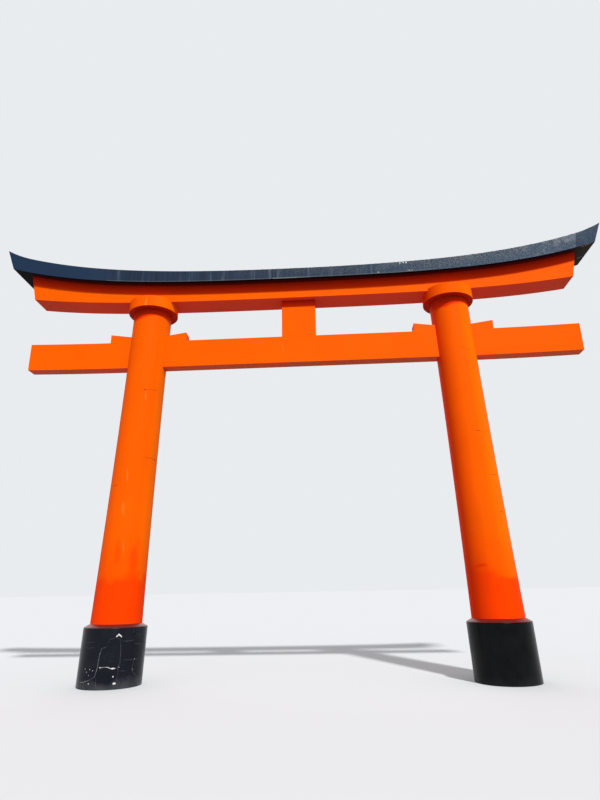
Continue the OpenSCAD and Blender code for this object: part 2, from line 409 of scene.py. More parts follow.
def in_the_lee(tree, here, lee, towards):
    """How much the paint is painted deep red as shadow, and how much darker as shade, below what
    stands out above it.
    """
    curve, shade, further, shade_darkening = lee
    depth = add(tree, "Math", (curve_height(tree, here, curve), here.z), operation="SUBTRACT")
    # The painted shadow reaches further down a pillar's sides, as a collar's cast shadow does
    aside = add(tree, "MapRange", (towards, 1.0, 0.3, 0.0, further))
    depth = add(tree, "Math", (depth, aside), operation="SUBTRACT")
    band = add(tree, "MapRange", (depth, shade + 0.03, shade - 0.04), interpolation_type="SMOOTHSTEP")
    return band, add(tree, "MapRange", (depth, shade, 0.0, 0.0, shade_darkening))


def vermilion_paint(name, along, shelter=SHELTER, sun=None, foot=None, lee=None,
                    beneath=(0.0, 0.0, 0.0), runs=(), smears=()):
    """Vermilion brushed on planed timber: a dense, nearly matt red lead colour, with painted light and
    shade. It is painted paler orange on the sides that face the light, most of all to the right of the
    front, and painted deep red as shade on the sides away from the light, on undersides and in the
    shadow of what is above it. Faint brush strokes run along the grain. The newer coat at a pillar's
    foot is redder, and above it the paint has paler runs and dark smears.

    shelter is where the painted shade begins and where it is deepest, from 1 for the side facing the
    light to -1 for the opposite one. sun is the level way in which it is painted palest. foot is the
    place on the pillar's axis that the newer coat reaches, and how steeply its edge climbs to the
    right. lee is the curve of the underside above, how far below it the painted shadow reaches, how
    much further on the sides, and how much darker it is painted right under it, as shade. beneath is
    how much undersides are painted deep red and darker, as shade, and paler, as bounce light. runs
    and smears are soft spots."""
    paint = bpy.context.scene.torii_vermilion
    material, tree, shader = new_material(name, Specular_IOR_Level=0.02)
    here = Here(tree)
    # Strokes are about 70 mm wide and 14 times as long, and the tone drifts over metres
    stroke_length = 14
    stretch = [1 / stroke_length if axis == along else 1 for axis in "XYZ"]
    grain = add(tree, "Mapping", {"Vector": here.place, "Scale": stretch})
    strokes = add(tree, "TexNoise", {"Vector": grain, "Scale": per_metre(70), "Detail": 4,
                                     "Roughness": 0.62})
    drift = add(tree, "TexNoise", {"Vector": here.place, "Scale": per_metre(1300), "Detail": 3})
    clouds = add(tree, "TexNoise", {"Vector": here.place, "Scale": per_metre(420), "Detail": 2,
                                    "Roughness": 0.45})

    # Painted light: the side facing the light counts 1, level faces count as the front does, and the
    # paint is painted paler orange towards that side
    level_face = add(tree, "Math", (here.up,), operation="ABSOLUTE")
    towards = add(tree, "VectorMath", (here.normal, SUNNY_SIDE), "Value", operation="DOT_PRODUCT")
    exposed = add(tree, "Math", (level_face, -SUNNY_SIDE[1], towards), operation="MULTIPLY_ADD")
    painted_light_facing = exposed
    if sun:
        painted_light_facing = add(tree, "VectorMath", (here.normal, sun), "Value", operation="DOT_PRODUCT")
    layers = [(add(tree, "MapRange", (painted_light_facing, 0.8, 1.08)), paint.painted_light_tint)]
    if foot:
        layers.append((newer_coat(tree, here, foot, clouds), paint.fresh))

    # The marks' outlines are pushed about by the clouds, so that no mark is a clean oval
    push = Vector((0.12, 0.12, 0.12))
    pushed = add(tree, "VectorMath", (clouds.node.outputs["Color"], push, here.place),
                 operation="MULTIPLY_ADD")
    for spots, colour in ((smears, paint.deep), (runs, paint.chalk)):
        if spots:
            moved = [(centre + push / 2, *rest) for centre, *rest in spots]
            layers.append((soft_spots(tree, pushed, moved), colour))

    # Painted shade: the sides away from the light and the undersides are painted deep red, and so is the
    # band under an overhang, where its shadow falls
    deepest_side = 0.85
    sheltered = add(tree, "MapRange", (exposed, *shelter))
    gathered = add(tree, "Math", (sheltered, 2.0), operation="POWER")
    painted_shade = add(tree, "Math", (gathered, deepest_side), operation="MULTIPLY")
    below = add(tree, "MapRange", (here.up, -0.3, -0.7))
    painted_shade_below, painted_darkening, bounce_lit = (add(tree, "Math", (below, share), operation="MULTIPLY")
                                  for share in beneath)
    painted_shade = add(tree, "Math", (painted_shade, painted_shade_below), operation="MAXIMUM")
    if lee:
        band, lee_darkening = in_the_lee(tree, here, lee, towards)
        painted_shade = add(tree, "Math", (painted_shade, band), operation="MAXIMUM")
        painted_darkening = add(tree, "Math", (painted_darkening, lee_darkening), operation="MAXIMUM")
    # Dust lies on the level tops, which nobody sees from the ground
    top = add(tree, "MapRange", (here.up, 0.5, 0.85))
    lying = add(tree, "MapRange", (clouds, 0.3, 0.7, 0.4, 0.75))
    dusty = add(tree, "Math", (top, lying), operation="MULTIPLY")
    # The painted deep red shade, the painted darkening under overhangs and the painted bounce light on
    # undersides go on here, then the dust
    layers += [(painted_shade, paint.deep), (painted_darkening, paint.painted_shade_dark), (bounce_lit, paint.bounce_light_tint),
               (dusty, paint.dust)]
    coat = paint.face
    for share, colour in layers:
        coat = add(tree, "Mix", {0: share, 6: coat, 7: colour}, 2, data_type="RGBA")

    tone = add(tree, "MapRange", (drift, 0.3, 0.7, 0.94, 1.05))
    stroke_tone = add(tree, "MapRange", (strokes, 0.3, 0.7, 0.97, 1.025))
    level = add(tree, "Math", (tone, stroke_tone), operation="MULTIPLY")
    painted = add(tree, "HueSaturation", {"Color": coat, "Value": level})
    rough = add(tree, "MapRange", (strokes, 0.3, 0.7, 0.44, 0.58))
    surface_finish(tree, shader, painted, rough, strokes, 0.12, 1.5 * MM)
    return material


def greyed_drifts(tree, here, above_edge, patches):
    """How grey the cap's paint has gone, the same with its last length fresher, and where that
    length is. It greys in drifts from left to right, with a step at the middle joint."""
    (middle_joint, *_), (last_joint, lean, _) = CAP_JOINTS[1:]
    drifted = add(tree, "Math", (patches, 2.4, here.x), operation="MULTIPLY_ADD")
    across = add(tree, "MapRange", (drifted, -4.8, 7.2))
    faded = add(tree, "Math", (across, 1.45), operation="POWER")
    right_board = add(tree, "MapRange", (here.x, middle_joint - 5 * MM, middle_joint + 5 * MM))
    greying = add(tree, "Math", (right_board, 0.07, faded), operation="MULTIPLY_ADD")
    leaned = add(tree, "Math", (above_edge, -lean, here.x), operation="MULTIPLY_ADD")
    tip = add(tree, "MapRange", (leaned, last_joint - 5 * MM, last_joint + 5 * MM))
    return greying, add(tree, "Math", (tip, -FRESHER_TIP, greying), operation="MULTIPLY_ADD"), tip


def rain_streaks(tree, here, coat):
    """The cap's coat under the dull film and the pale drips that rain has left in upright
    streaks, and the streaks."""
    first_joint = CAP_JOINTS[0][0]
    upright = add(tree, "Mapping", {"Vector": here.place, "Scale": (1, 1, 0.04)})
    streaks = add(tree, "TexNoise", {"Vector": upright, "Scale": per_metre(60), "Detail": 3,
                                     "Roughness": 0.6})
    # They set in at the first joint, and fade to a quarter from 0.6 to 3 m right of the middle
    rise = add(tree, "MapRange", (here.x, first_joint - 0.3, first_joint + 0.4))
    fall = add(tree, "MapRange", (here.x, 3.0, 0.6, 0.25))
    streaked = add(tree, "Math", (rise, fall), operation="MULTIPLY")
    film = add(tree, "Math", (streaked, 0.3), operation="MULTIPLY")
    dulled = add(tree, "Mix", {0: film, 6: coat, 7: linear("#262C3A")}, 2, data_type="RGBA")
    streak_tone = add(tree, "MapRange", (streaks, 0.32, 0.68, 0.68, 1.14))
    even = add(tree, "Mix", {0: streaked, 2: 1.0, 3: streak_tone})
    washed = add(tree, "HueSaturation", {"Color": dulled, "Value": even})
    drip = add(tree, "MapRange", (streaks, 0.6, 0.68))
    dripped = add(tree, "Math", (drip, film), operation="MULTIPLY")
    return add(tree, "Mix", {0: dripped, 6: washed, 7: linear("#6C7886")}, 2, data_type="RGBA"), streaks


def joint_lines(tree, here, above_edge):
    """How dark the joints between the lengths of the cap's facing are at each place."""
    dark = 0.0
    for joint, lean, darkness in CAP_JOINTS:
        level = add(tree, "Math", (above_edge, -lean, here.x), operation="MULTIPLY_ADD")
        away = add(tree, "Math", (level, joint), operation="SUBTRACT")
        gap = add(tree, "Math", (away,), operation="ABSOLUTE")
        line = add(tree, "MapRange", (gap, 9 * MM, 5 * MM, 0.0, darkness))
        dark = add(tree, "Math", (dark, line), operation="MAXIMUM")
    return dark


def pale_lower_arris(tree, here, above_edge):
    """How much paler the cap's lower arris is: all the way from the first joint to right of the
    middle, and most of all just right of the middle joint."""
    first_joint, middle_joint = CAP_JOINTS[0][0], CAP_JOINTS[1][0]
    arris_paleness = 0.0
    for start, end, more in ((first_joint, first_joint + 0.05, 0.13),
                             (middle_joint, middle_joint + 0.02, 0.3),
                             (middle_joint + 0.5, middle_joint + 0.9, -0.3),
                             (2.6, 3.4, -0.13)):
        step = add(tree, "MapRange", (here.x, start, end, 0.0, more))
        arris_paleness = add(tree, "Math", (arris_paleness, step), operation="ADD")
    arris = add(tree, "MapRange", (above_edge, 24 * MM, 10 * MM))
    return add(tree, "Math", (arris_paleness, arris), operation="MULTIPLY")


def cap_soffit(tree, here):
    """Colour of the cap's underside: nearly black, with bare fibres at the right tip. Beside the
    lintel its vermilion laps onto the soffit, painted dark as the shade in that corner."""
    along = add(tree, "Mapping", {"Vector": here.place, "Scale": (0.08, 1, 0.3)})
    fibres = add(tree, "TexNoise", {"Vector": along, "Scale": per_metre(45), "Detail": 4,
                                    "Roughness": 0.7})
    at_tip = add(tree, "MapRange", (here.x, 5.9, 6.3, 0.0, 0.35))
    bare = add(tree, "Math", (fibres, at_tip), operation="MULTIPLY")
    lap = 0.13
    lintel_face, lintel_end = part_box("lintel_middle")[1].y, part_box("lintel_right_end")[1].x
    from_middle = add(tree, "Math", (here.y,), operation="ABSOLUTE")
    lapped = add(tree, "MapRange", (from_middle, lintel_face + lap, lintel_face))
    from_centre = add(tree, "Math", (here.x,), operation="ABSOLUTE")
    over_lintel = add(tree, "MapRange", (from_centre, lintel_end, lintel_end - lap))
    red = add(tree, "Math", (lapped, over_lintel), operation="MULTIPLY")
    soffit = bpy.context.scene.torii_cap.soffit
    # The dark red beside the lintel is lapped paint, painted dark as the shade in that corner
    for share, colour in ((bare, linear("#8D8478")), (red, linear("#66100C"))):
        soffit = add(tree, "Mix", {0: share, 6: soffit, 7: colour}, 2, data_type="RGBA")
    return soffit


def cap_paint(name):
    """Black paint on a heavy timber cap. At the left it has kept its skin and is a smooth slate
    blue. From the first joint on, rain has drawn upright streaks down it and its lower arris is
    paler, and towards the right it is greyed, gritty and dusted with lichen. The slate blue and the
    blue-grey are partly a painted reflection of a blue sky. Its underside is nearly black."""
    cap = bpy.context.scene.torii_cap
    material, tree, shader = new_material(name, Specular_IOR_Level=0.06)
    here = Here(tree)
    edge = curve_height(tree, here, cap_underside())
    above_edge = add(tree, "Math", (here.z, edge), operation="SUBTRACT")
    patches = add(tree, "TexNoise", {"Vector": here.place, "Scale": per_metre(700), "Detail": 3,
                                     "Roughness": 0.55})
    blots = add(tree, "TexNoise", {"Vector": here.place, "Scale": per_metre(190), "Detail": 3,
                                   "Roughness": 0.5})
    greying, newer, tip = greyed_drifts(tree, here, above_edge, patches)
    base = add(tree, "Mix", {0: newer, 6: cap.sound, 7: cap.greyed}, 2, data_type="RGBA")
    washed, streaks = rain_streaks(tree, here, base)

    # Grit and lichen sit in grains of 20 to 30 mm, thicker towards the right and the top edge
    grains = add(tree, "TexNoise", {"Vector": here.place, "Scale": per_metre(27), "Detail": 2,
                                    "Roughness": 0.6})
    lichen_full = cap.lichen_start + 5.5
    spread = add(tree, "MapRange", (here.x, cap.lichen_start, lichen_full))
    settled = add(tree, "Math", (tip, -FRESHER_TIP, spread), operation="MULTIPLY_ADD")
    grit_tone = add(tree, "MapRange", (grains, 0.32, 0.68, 0.38, 1.62))
    gritty = add(tree, "Mix", {0: settled, 2: 1.0, 3: grit_tone})
    coat = add(tree, "HueSaturation", {"Color": washed, "Value": gritty})
    upper = add(tree, "MapRange", (above_edge, 0.06, 0.22, 0.35))
    top = add(tree, "MapRange", (here.up, 0.4, 0.8))
    high = add(tree, "Math", (upper, top), operation="MAXIMUM")
    chance = add(tree, "Math", (settled, high), operation="MULTIPLY")
    patchy = add(tree, "Math", (blots, 0.35, grains), operation="MULTIPLY_ADD")
    speckled = add(tree, "MapRange", (patchy, 0.66, 0.8))
    crust = add(tree, "Math", (speckled, chance), operation="MULTIPLY")
    thick = add(tree, "Math", (crust, 0.5), operation="MULTIPLY")
    warm = add(tree, "MapRange", (patches, 0.4, 0.6))
    lichen = add(tree, "Mix", {0: warm, 6: cap.lichen, 7: linear("#94866F")}, 2, data_type="RGBA")

    # Broad pale blotches spread just short of the last joint, where the greyed paint has thinned
    near_end = add(tree, "MapRange", (here.x, 4.6, 5.6))
    before_joint = add(tree, "Math", (near_end, tip), operation="SUBTRACT")
    blotch = add(tree, "MapRange", (blots, 0.48, 0.58, 0.0, 0.28))
    thinned = add(tree, "Math", (blotch, before_joint), operation="MULTIPLY")

    below = add(tree, "MapRange", (here.up, -0.4, -0.7))
    for share, colour in ((thick, lichen), (thinned, linear("#8B93A0")),
                          (joint_lines(tree, here, above_edge), cap.soffit),
                          (pale_lower_arris(tree, here, above_edge), linear("#B4B3AE")),
                          (below, cap_soffit(tree, here))):
        coat = add(tree, "Mix", {0: share, 6: coat, 7: colour}, 2, data_type="RGBA")
    dry = add(tree, "Math", (greying, below), operation="MAXIMUM")
    rough = add(tree, "MapRange", (dry, 0.0, 1.0, 0.55, 0.9))
    raised = add(tree, "Math", (crust, streaks), operation="ADD")
    relief = add(tree, "Math", (raised, newer), operation="MULTIPLY")
    surface_finish(tree, shader, coat, rough, relief, 0.4, 4 * MM)
    return material


def black_coating(name, crazed):
    """Thick black coating on a hard sleeve: glossy, nearly black, dusty at the foot, and on the
    crazed sleeve crossed by hair-fine grey lines. The shoulder is painted red-brown, a painted
    reflection of the vermilion pillar above it."""
    sleeve = bpy.context.scene.torii_sleeve
    material, tree, shader = new_material(name, Specular_IOR_Level=0.1)
    coat, dustiness, craziness = (sleeve.faded, 0.3, 0.08) if crazed else (sleeve.black, 0.06, 0.0)
    here = Here(tree)
    smears = add(tree, "TexNoise", {"Vector": here.place, "Scale": per_metre(320), "Detail": 4,
                                    "Roughness": 0.55})
    scuffed = add(tree, "Math", (smears, -0.4, here.z), operation="MULTIPLY_ADD")
    dust = add(tree, "MapRange", (scuffed, -0.02, -0.24, 0.0, dustiness))
    hazy = add(tree, "MapRange", (smears, 0.35, 0.7, 0.0, 0.02))
    film = add(tree, "Math", (dust, hazy), operation="MAXIMUM")
    # Painted reflection: the upward-facing shoulder is painted with the pillar's red-brown reflection
    shoulder = add(tree, "MapRange", (here.up, 0.6, 0.85, 0.0, 0.8))

    # The craze lines are a few tenths of a millimetre wide, and are drawn coarser so that they show
    twist = add(tree, "TexNoise", {"Vector": here.place, "Scale": per_metre(150), "Detail": 3}, "Color")
    bent = add(tree, "VectorMath", (twist, (0.07, 0.07, 0.07), here.place), operation="MULTIPLY_ADD")
    cells = add(tree, "TexVoronoi", {"Vector": bent, "Scale": per_metre(120)}, "Distance",
                feature="DISTANCE_TO_EDGE")
    lines = add(tree, "MapRange", (cells, 0.03, 0.01))
    where = add(tree, "MapRange", (smears, 0.5, 0.62, 0.0, craziness))
    craze = add(tree, "Math", (lines, where), operation="MULTIPLY")
    for share, colour in ((film, linear("#7A7D80")), (shoulder, sleeve.pillar_reflection),
                          (craze, sleeve.ground)):
        coat = add(tree, "Mix", {0: share, 6: coat, 7: colour}, 2, data_type="RGBA")
    rubbed = add(tree, "MapRange", (smears, 0.3, 0.7, 0.16, 0.34))
    surface_finish(tree, shader, coat, rubbed, smears, 0.12, 4 * MM)
    return material


def plain_wear(name, colour, size, roughness):
    """Dry, matt material in a crack or on bare ground, broken by grit of the given size in
    millimetres."""
    material, tree, shader = new_material(name, Roughness=roughness, Specular_IOR_Level=0.1)
    place = add(tree, "TexCoord", out="Object")
    grit = add(tree, "TexNoise", {"Vector": place, "Scale": per_metre(size), "Detail": 4,
                                  "Roughness": 0.6})
    level = add(tree, "MapRange", (grit, 0.3, 0.7, 0.7, 1.15))
    toned = add(tree, "HueSaturation", {"Color": colour, "Value": level})
    surface_finish(tree, shader, toned, None, grit, 0.4, 1 * MM)
    return material


def seen_rays(tree):
    """1 for the rays that show a surface to the camera, straight or by a mirror or through glass."""
    rays = add(tree, "LightPath").node.outputs
    seen = add(tree, "Math", (rays["Is Camera Ray"], rays["Is Glossy Ray"]), operation="MAXIMUM")
    return add(tree, "Math", (seen, rays["Is Transmission Ray"]), operation="MAXIMUM")


def pillar_axis(member):
    """Two points on the axis of the pillar that a member belongs to: the middles of its sleeve's
    foot and of its collar."""
    side = member.split("_")[0]
    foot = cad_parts[side + "_base_sleeve"].data.vertices
    ground = [v.co.x for v in foot if v.co.z < 1 * MM]
    low = Vector(((min(ground) + max(ground)) / 2, 0, 0))
    collar_low, collar_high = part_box(side + "_collar")
    high = (collar_low + collar_high) / 2
    high.y = 0
    return low, high


def radius_of(name):
    """Radius of a round member where it is widest."""
    low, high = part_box(name)
    return (high.y - low.y) / 2


def on_round(surface, axis, angle, height, lift=0.0):
    """Point on a round member, at an angle to the right of its front, raised by lift."""
    outward = Vector((math.sin(angle), -math.cos(angle), 0))
    low, high = axis
    return cast(surface, low.lerp(high, height / high.z) + outward * WELL_OUTSIDE, -outward, lift)


def round_member(name):
    """How marks drawn flat, along the girth and up, are laid on a round member."""
    surface, axis, radius = surface_of(name), pillar_axis(name), radius_of(name)
    return lambda u, v, lift: on_round(surface, axis, u / radius, v, lift)


def front_face(*names):
    """How marks drawn flat, to the right and up, are laid on the front of some members."""
    surface = surface_of(*names)
    return lambda u, v, lift: cast(surface, Vector((u, -WELL_OUTSIDE, v)), BACKWARDS, lift)


def under_face(*names):
    """How marks drawn flat, to the right and back, are laid on the underside of some members."""
    surface = surface_of(*names)
    return lambda u, v, lift: cast(surface, Vector((u, v, 0)), UP, lift)


def unrolled(points, name, turn=0):
    """Degrees round a member, turned on by some more, and millimetres up it, as metres along its
    girth and up."""
    radius = radius_of(name)
    return [(math.radians(angle + turn) * radius, height * MM) for angle, height in points]


def in_metres(points):
    """Pairs of millimetres as pairs of metres."""
    return [(u * MM, v * MM) for u, v in points]


def pillar_spots(name, marks):
    """Centres and half widths, in metres, of soft marks on a pillar, and their strengths."""
    skin, axis = surface_of(name), pillar_axis(name)
    return [(on_round(skin, axis, math.radians(angle), height * MM), (wide * MM, wide * MM, tall * MM),
             strength) for angle, height, wide, tall, strength in marks]


def draw_crack(bm, points, width, seed, ragged=0.35, taper=(0.35, 1.0, 1.0, 0.35)):
    """Draws a crack in a flat sheet, x to the right and z up, as a ragged strip. points are pairs
    in metres, and taper holds shares of the width from the crack's start to its end."""
    dice = random.Random(seed)
    spots = [Vector((x, 0, z)) for x, z in points]
    start = len(bm.verts)
    tip = bm.verts.new(spots[0])
    edges = []
    for spot in spots[1:]:
        grown = bmesh.ops.extrude_vert_indiv(bm, verts=[tip])
        tip = grown["verts"][0]
        tip.co = spot
        edges += grown["edges"]
    bmesh.ops.subdivide_edges(bm, edges=edges, cuts=3)
    spine = list(bm.verts)[start:]
    sway = 1.6 * ragged * width
    for vert in spine:
        vert.co.x += dice.uniform(-sway, sway)
        vert.co.z += dice.uniform(-sway, sway)
    way = spots[-1] - spots[0]
    across = Vector((way.z, 0, -way.x)).normalized()
    links = dict.fromkeys(edge for vert in spine for edge in vert.link_edges)
    strip = bmesh.ops.extrude_edge_only(bm, edges=list(links))
    for vert in strip["geom"]:
        if isinstance(vert, bmesh.types.BMVert):
            # How far along the crack it is, just short of the end, where no share would follow
            gone = min(max((vert.co - spots[0]).dot(way) / way.length_squared, 0), 0.999)
            stage, part = divmod(gone * (len(taper) - 1), 1)
            before, after = taper[int(stage)], taper[int(stage) + 1]
            wide = before + (after - before) * part
            vert.co += across * width * wide * dice.uniform(1 - ragged, 1 + ragged)


def draw_flake(bm, centre, size, seed, turn=0.0):
    """Draws the ragged outline of a flake in a flat sheet, size wide and high, in metres."""
    dice = random.Random(seed)
    middle = Vector((centre[0], 0, centre[1]))
    place = (Matrix.Translation(middle) @ Matrix.Rotation(turn, 4, "Y")
             @ Matrix.Diagonal((size[0] / 2, 1, size[1] / 2, 1)) @ Matrix.Rotation(math.pi / 2, 4, "X"))
    flake = bmesh.ops.create_circle(bm, cap_ends=True, segments=11, radius=1, matrix=place)
    for vert in flake["verts"]:
        vert.co = middle + (vert.co - middle) * dice.uniform(0.7, 1.15)


def number_by_place(elements, place):
    """Numbers vertices or faces by their places, because extruding numbers them differently from
    run to run."""
    for number, element in enumerate(sorted(elements, key=place)):
        element.index = number
    elements.sort()


def settle(bm, depth, lay):
    """Gives flat marks their thickness and lays them on the gate, half sunk in its surface."""
    for vert in bm.verts:
        vert.co.y = -depth / 2
    grown = bmesh.ops.extrude_face_region(bm, geom=bm.faces[:])
    for item in grown["geom"]:
        if isinstance(item, bmesh.types.BMVert):
            item.co.y = depth / 2
    for vert in bm.verts:
        vert.co = lay(vert.co.x, vert.co.z, -vert.co.y)
    bmesh.ops.recalc_face_normals(bm, faces=bm.faces[:])
    number_by_place(bm.verts, lambda vert: vert.co[:])
    number_by_place(bm.faces, lambda face: face.calc_center_median()[:])


def add_piece(name, bm, material):
    """Turns a finished bmesh into a piece of the gate."""
    mesh = bpy.data.meshes.new(name)
    bm.to_mesh(mesh)
    bm.free()
    mesh.materials.append(material)
    piece = bpy.data.objects.new(name, mesh)
    bpy.context.scene.collection.objects.link(piece)
    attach(piece, "root")


class TORII_OT_paint_pillars(bpy.types.Operator):
    """Paint the two pillars vermilion, with a newer coat round their feet"""

    bl_idname = "torii.paint_pillars"
    bl_label = "Paint pillars"

    def execute(self, context):
        foot_height = context.scene.torii_vermilion.foot_height
        # Under each collar the pillar is painted deep red and darker, as the collar's shadow
        shade_under_collar, further_aside, shade_darkening = 0.15, 0.1, 0.4
        # The left pillar's painted light faces further to the right, and its painted shade starts further
        # round
        for name, shelter, sun, (higher, climb), runs, smears in (
                ("left_pillar", LEFT_SHELTER, LEFT_PALE_SIDE, LEFT_FOOT, LEFT_RUNS, LEFT_SMEARS),
                ("right_pillar", SHELTER, None, RIGHT_FOOT, (), RIGHT_SMEARS)):
            low, high = pillar_axis(name)
            head = (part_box(name)[1].z, 0.0, 0.0)
            finish_nodes(vermilion_paint(
                "vermilion_on_" + name, "Z", shelter, sun,
                foot=(low.lerp(high, (foot_height + higher) / high.z), climb),
                lee=(head, shade_under_collar, further_aside, shade_darkening),
                runs=pillar_spots(name, runs), smears=pillar_spots(name, smears)), name)
        return {"FINISHED"}


class TORII_OT_paint_beams(bpy.types.Operator):
    """Paint the tie beam and its wedges, the strut, the collars and the lintel vermilion"""

    bl_idname = "torii.paint_beams"
    bl_label = "Paint beams"

    def execute(self, context):
        # The tie beam's and the lintel's undersides are painted paler, as bounce light
        tie_bounce_light, lintel_bounce_light = 0.11, 0.077
        finish_nodes(vermilion_paint("vermilion_on_tie_beam", "X", beneath=(0.0, 0.0, tie_bounce_light)),
                     *TIE, *WEDGES)
        # The collars' undersides are painted deep red and darker, as shade
        for name, shelter in zip(COLLARS, (LEFT_SHELTER, SHELTER)):
            finish_nodes(vermilion_paint("vermilion_on_" + name, "X", shelter,
                                         beneath=(1.0, 0.4, 0.0)), name)
        # Under the cap and under the lintel the paint is painted deep red and darker, as their shadows
        shade_under_cap, shade_under_lintel, shade_darkening = 0.22, 0.16, 0.44
        finish_nodes(vermilion_paint("vermilion_on_lintel", "X", beneath=(0.6, 0.0, lintel_bounce_light),
                                     lee=(cap_underside(), shade_under_cap, 0.0, shade_darkening)), *LINTEL)
        head = (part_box("strut")[1].z, 0.0, 0.0)
        finish_nodes(vermilion_paint("vermilion_on_strut", "Z",
                                     lee=(head, shade_under_lintel, 0.0, shade_darkening)), "strut")
        return {"FINISHED"}


class TORII_OT_paint_cap(bpy.types.Operator):
    """Paint the cap black and weather it"""

    bl_idname = "torii.paint_cap"
    bl_label = "Paint cap"

    def execute(self, context):
        finish_nodes(cap_paint("weathered_black_paint"), *CAP)
        return {"FINISHED"}


class TORII_OT_coat_sleeves(bpy.types.Operator):
    """Coat the base sleeves in glossy black"""

    bl_idname = "torii.coat_sleeves"
    bl_label = "Coat sleeves"

    def execute(self, context):
        finish_nodes(black_coating("crazed_black_coating", True), "left_base_sleeve")
        finish_nodes(black_coating("sound_black_coating", False), "right_base_sleeve")
        return {"FINISHED"}


class TORII_OT_crack_sleeve(bpy.types.Operator):
    """Open the cracks in the left sleeve's coating, in front and, turned round, behind"""

    bl_idname = "torii.crack_sleeve"
    bl_label = "Crack left sleeve"

    def execute(self, context):
        # Each group of cracks has its width in millimetres
        front, behind = 0, 165
        for name, ground, colour, turn, groups in (
                ("left_sleeve_cracks", "ground_in_cracks", "#83878A", front,
                 ((10, (LOW_CRACK,)), (6, (LONG_CRACK,)))),
                ("left_sleeve_fine_cracks", "ground_in_fine_cracks", "#4C5157", front,
                 ((8, (UPPER_CRACK, SIDE_CRACK)), (7, FINE_CRACKS), (5, FAINT_CRACKS), (24, FOOT_SCUFFS))),
                ("left_sleeve_back_cracks", "ground_in_back_cracks", "#6C7072", behind,
                 ((9, (LONG_CRACK, LOW_CRACK, SIDE_CRACK)), (7, FINE_CRACKS + (UPPER_CRACK,))))):
            strips = bmesh.new()
            for width, cracks in groups:
                for number, crack in enumerate(cracks):
                    draw_crack(strips, unrolled(crack, "left_base_sleeve", turn), width * MM,
                               seed=width + number + turn)
            settle(strips, 1.6 * MM, round_member("left_base_sleeve"))
            add_piece(name, strips, plain_wear(ground, linear(colour), 30, 0.9))
        return {"FINISHED"}


class TORII_OT_chip_sleeve(bpy.types.Operator):
    """Knock the chips and the widest crack of the left sleeve down to the pale ground"""

    bl_idname = "torii.chip_sleeve"
    bl_label = "Chip left sleeve"

    def execute(self, context):
        sleeve = "left_base_sleeve"
        flakes = bmesh.new()
        draw_crack(flakes, unrolled(PEAK_CHIP, sleeve), 28 * MM, seed=40, ragged=0.12,
                   taper=(0.8, 1.0, 1.0, 0.8))
        draw_crack(flakes, unrolled(CROSS_CRACK, sleeve), 5 * MM, seed=41, taper=(0.9, 0.8, 1.8, 3.0))
        speck = (12, 12)
        for marks, seed in ((CHIPS, 50), ([(place, speck) for place in SPECKS], 70)):
            for number, (place, size) in enumerate(marks):
                draw_flake(flakes, unrolled([place], sleeve)[0], in_metres([size])[0], seed + number)
        settle(flakes, 2.4 * MM, round_member(sleeve))
        add_piece("left_sleeve_chips", flakes,
                  plain_wear("bare_ground", context.scene.torii_sleeve.chip, 12, 0.9))
        return {"FINISHED"}


class TORII_OT_check_pillars(bpy.types.Operator):
    """Cut the short checks and nicks in the pillars' paint"""

    bl_idname = "torii.check_pillars"
    bl_label = "Check pillars"

    hidden: IntProperty(name="Hidden checks", description="How many checks each pillar has behind",
                        min=0, max=40, default=6)

    def execute(self, context):
        dark = plain_wear("dark_check", linear("#8A2A0C"), 30, 0.9)
        for name, checks, nicks, seed in (("left_pillar", LEFT_CHECKS, LEFT_NICKS, 80),
                                          ("right_pillar", RIGHT_CHECKS, (), 90)):
            strips = bmesh.new()
            for number, check in enumerate(list(checks) + self.behind(random.Random(seed))):
                draw_crack(strips, unrolled(check, name), 7 * MM, seed + number)
            for number, (place, size) in enumerate(nicks):
                draw_flake(strips, unrolled([place], name)[0], in_metres([size])[0], seed + number)
            settle(strips, 1.4 * MM, round_member(name))
            add_piece(name + "_checks", strips, dark)
        return {"FINISHED"}

    def behind(self, dice):
        """Short level checks round the side away from the front, in degrees and millimetres."""
        checks = []
        for _ in range(self.hidden):
            angle, height = dice.uniform(110, 250), dice.uniform(1500, 7000)
            span, drop = dice.uniform(10, 30), dice.uniform(-15, 15)
            checks.append(((angle, height), (angle + span / 2, height + drop / 3),
                           (angle + span, height + drop)))
        return checks


class TORII_OT_run_paint(bpy.types.Operator):
    """Draw the pale run on the left collar and the pale hair in the tie beam's paint"""

    bl_idname = "torii.run_paint"
    bl_label = "Run paint"

    def execute(self, context):
        chalk = plain_wear("chalky_run", context.scene.torii_vermilion.chalk, 30, 0.8)
        run = bmesh.new()
        draw_crack(run, unrolled(COLLAR_RUN, "left_collar"), 30 * MM, seed=99, ragged=0.12,
                   taper=(0.3, 0.5, 0.9, 1.2))
        settle(run, 1.4 * MM, round_member("left_collar"))
        add_piece("left_collar_run", run, chalk)
        hair = bmesh.new()
        draw_crack(hair, in_metres(BEAM_HAIR), 9 * MM, seed=101, ragged=0.2)
        settle(hair, 1.4 * MM, front_face("tie_beam_middle"))
        add_piece("tie_beam_hair", hair, chalk)
        return {"FINISHED"}


